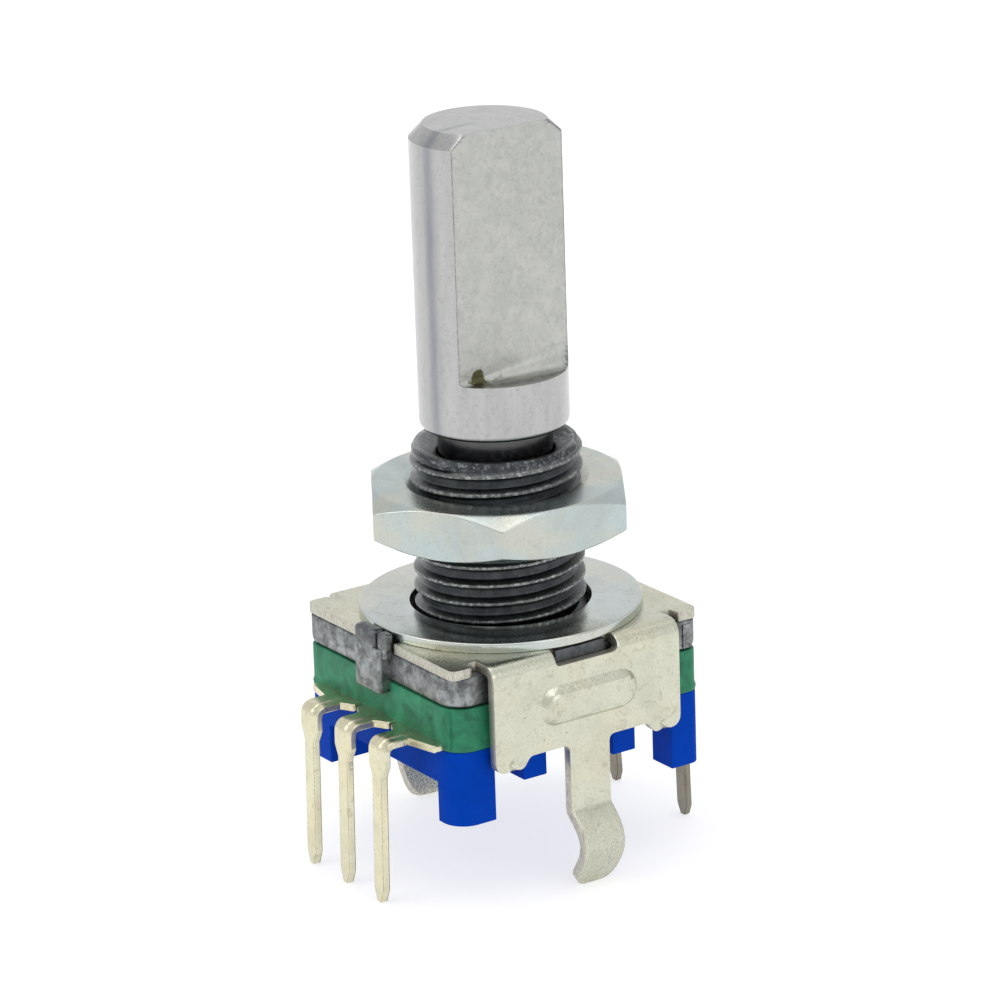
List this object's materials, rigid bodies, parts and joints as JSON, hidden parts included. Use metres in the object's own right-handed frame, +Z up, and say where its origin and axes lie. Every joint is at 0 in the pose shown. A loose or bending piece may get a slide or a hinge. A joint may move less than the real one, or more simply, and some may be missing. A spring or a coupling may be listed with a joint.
{
  "type": "rotary encoder",
  "caption": "Rotary encoder with a push switch: D-shaft in a threaded bushing on a clamped body with board pins and snap-in legs.",
  "frame": {"origin": "on the shaft's axis, in the plane of the board's top face on which the four corner feet stand", "axes": "+Z up the shaft, -Y towards the three encoder terminals, +Y towards the two switch pins, X through the two mounting legs; the shaft's flat faces +X at rest"},
  "size_m": [0.0138, 0.0148, 0.03],
  "materials": {
    "shaft_metal": "bright turned metal, satin",
    "spring_steel": "hardened spring steel, satin",
    "thrust_plastic": "low-friction plastic, matte",
    "rotor_plastic": "black moulded plastic, matte",
    "code_metal": "gold-flashed contact metal, satin",
    "detent_metal": "plated spring strip, satin",
    "die_cast_zinc": "zinc die casting, dull grey, mottled",
    "plated_sheet": "nickel-plated steel sheet, warm silver with fine pits",
    "zinc_washer": "bright zinc plate, polished",
    "zinc_nut": "pale blue zinc plate, satin",
    "green_moulding": "green glass-filled moulding, satin",
    "terminal_metal": "tin-plated bronze strip, pale champagne, satin",
    "blue_moulding": "deep blue moulding, satin",
    "plunger_plastic": "white moulded plastic, satin",
    "film": "amber polyimide film",
    "dome_metal": "stainless snap dome, bright",
    "switch_pin_metal": "tin-plated bronze strip, dulled grey-brown"
  },
  "bodies": {
    "body": {"housing": "die_cast_zinc", "frame_bracket": "plated_sheet", "contact_base": "green_moulding", "terminal_a": "terminal_metal", "terminal_c": "terminal_metal", "terminal_b": "terminal_metal", "switch_housing": "blue_moulding", "dome_film": "film", "snap_dome": "dome_metal", "switch_contact_d": "switch_pin_metal", "switch_contact_e": "switch_pin_metal"},
    "rotor_group": {"rotor": "rotor_plastic", "code_plate": "code_metal", "detent_spring": "detent_metal"},
    "shaft_group": {"shaft": "shaft_metal", "retaining_ring": "spring_steel", "thrust_washer": "thrust_plastic"},
    "plunger": {"switch_plunger": "plunger_plastic"},
    "nut": {"hex_nut": "zinc_nut"},
    "washer": {"panel_washer": "zinc_washer"}
  },
  "joints": [
    {"name": "shaft_turn", "type": "hinge", "parent": "body", "child": "rotor_group", "pos_m": [0, 0, 0.0048], "axis": [0, 0, 1], "continuous": true},
    {"name": "shaft_push", "type": "slide", "parent": "rotor_group", "child": "shaft_group", "axis": [0, 0, -1], "range_m": [0, 0.0005], "stiffness_N_per_m": 2000, "springref_m": -0.001},
    {"name": "plunger_press", "type": "slide", "parent": "body", "child": "plunger", "axis": [0, 0, -1], "range_m": [0, 0.0005], "deforming": ["snap_dome", "dome_film"]},
    {"name": "nut_travel", "type": "slide", "parent": "body", "child": "nut", "axis": [0, 0, 1], "range_m": [-0.003, 0.0015]},
    {"name": "washer_turn", "type": "hinge", "parent": "body", "child": "washer", "pos_m": [0, 0, 0.0068], "axis": [0, 0, 1], "continuous": true}
  ],
  "couplings": [
    {"joint": "plunger_press", "follows": "shaft_push", "ratio": 1}
  ]
}
